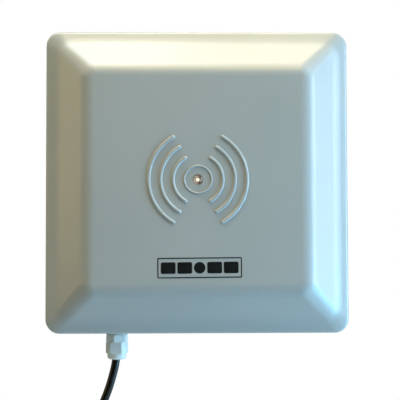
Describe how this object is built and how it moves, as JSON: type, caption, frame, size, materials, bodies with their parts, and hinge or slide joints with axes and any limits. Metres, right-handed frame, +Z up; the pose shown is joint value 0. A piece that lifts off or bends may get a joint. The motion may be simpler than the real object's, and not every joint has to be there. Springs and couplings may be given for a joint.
{
  "type": "wall-mounted gate antenna reader",
  "caption": "Square grey antenna reader panel with a bevelled cover, raised wave marks, a clear lamp, a cable gland with its black lead, on a pan and tilt wall mount.",
  "frame": {"origin": "centre of the wall base's rear face, on the wall", "axes": "+Z up, +Y into the wall, +X to the right seen from the front; the panel faces -Y"},
  "size_m": [0.235, 0.1405, 0.4097],
  "materials": {
    "cover_abs": "satin moulded ABS",
    "badge_ink": "printed ink",
    "label_foil": "matt foil",
    "sheet_aluminium": "brushed sheet",
    "cast_bracket": "pale grey powder coat over die-cast aluminium",
    "zinc_steel": "zinc plated",
    "black_rubber": "moulded",
    "gland_nylon": "moulded nylon",
    "white_nylon": "moulded nylon",
    "cable_pvc": "extruded PVC",
    "core_pvc": "extruded PVC, six colours",
    "tinned_copper": "tinned strands",
    "led_epoxy": "clear cast epoxy",
    "board_fr4": "solder mask",
    "tin_plate": "tin plated sheet",
    "chip_epoxy": "moulded epoxy",
    "relay_blue": "moulded",
    "connector_nylon": "moulded nylon",
    "copper_pin": "drawn"
  },
  "bodies": {
    "wall_mount": {"wall_base": "cast_bracket", "pan_bolt": "zinc_steel", "pan_washers": "zinc_steel", "pan_nut": "zinc_steel"},
    "knuckle": {"knuckle": "cast_bracket"},
    "reader": {"panel_yoke": "cast_bracket", "tilt_bolt": "zinc_steel", "tilt_washers": "zinc_steel", "tilt_nut": "zinc_steel", "yoke_screws": "zinc_steel", "yoke_spring_washers": "zinc_steel", "clinch_nuts": "zinc_steel", "radome": "cover_abs", "front_badge": "badge_ink", "back_plate": "sheet_aluminium", "cover_gasket": "black_rubber", "cover_screws": "zinc_steel", "rear_label": "label_foil", "main_board": "board_fr4", "board_standoffs": "zinc_steel", "board_screws": "zinc_steel", "shield_can": "tin_plate", "controller_chips": "chip_epoxy", "capacitors": "chip_epoxy", "power_inductor": "chip_epoxy", "relay": "relay_blue", "beeper": "chip_epoxy", "signal_header": "connector_nylon", "signal_plug": "connector_nylon", "inner_wires": "core_pvc", "led_header": "connector_nylon", "led_wires": "core_pvc", "reflector": "sheet_aluminium", "reflector_posts": "zinc_steel", "reflector_screws": "zinc_steel", "patch": "sheet_aluminium", "patch_spacers": "white_nylon", "patch_screws": "white_nylon", "feed_coax": "tin_plate", "feed_pin": "copper_pin", "led_post": "white_nylon", "led_board": "board_fr4", "status_led": "led_epoxy", "led_leads": "tinned_copper", "gland_washer": "black_rubber", "gland_body": "gland_nylon", "gland_nut": "gland_nylon", "gland_bush": "black_rubber", "gland_locknut": "gland_nylon", "cable_inlet": "cable_pvc", "data_cable": "cable_pvc", "cable_coil": "cable_pvc", "cable_tail": "cable_pvc", "coil_ties": "white_nylon", "wire_tails": "core_pvc", "wire_tips": "tinned_copper"}
  },
  "joints": [
    {"name": "pan", "type": "hinge", "parent": "wall_mount", "child": "knuckle", "pos_m": [0, -0.024, 0], "axis": [0, 0, 1], "range_deg": [-20, 20]},
    {"name": "tilt", "type": "hinge", "parent": "knuckle", "child": "reader", "pos_m": [0, -0.06, 0], "axis": [1, 0, 0], "range_deg": [-20, 20]}
  ]
}
